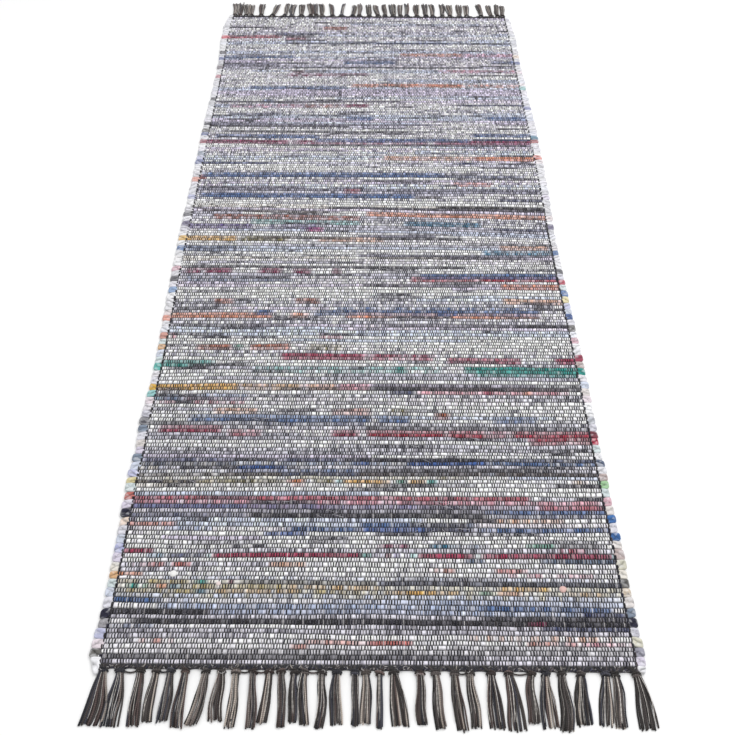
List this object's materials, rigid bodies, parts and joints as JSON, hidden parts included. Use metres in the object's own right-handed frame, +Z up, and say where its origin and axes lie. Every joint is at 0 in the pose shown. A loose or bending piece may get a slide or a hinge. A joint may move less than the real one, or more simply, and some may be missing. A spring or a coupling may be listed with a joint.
{
  "type": "rag rug",
  "caption": "Flat woven rag runner with thin cross stripes, rag turns along both sides and a knotted yarn fringe at each end.",
  "frame": {"origin": "on the floor, under the middle of the rug's bounding box", "axes": "+Y along the rug from the near end to the far end, +X to the right across it, +Z up"},
  "size_m": [0.8128, 2.169, 0.0064],
  "materials": {
    "rag_weave": "matt cotton rag weave, off-white and grey with thin coloured cross stripes",
    "charcoal_yarn": "matt twisted cotton yarn, charcoal with a few beige strands"
  },
  "bodies": {
    "root": {"woven_field": "rag_weave", "fringe_near": "charcoal_yarn", "fringe_far": "charcoal_yarn"}
  },
  "joints": []
}
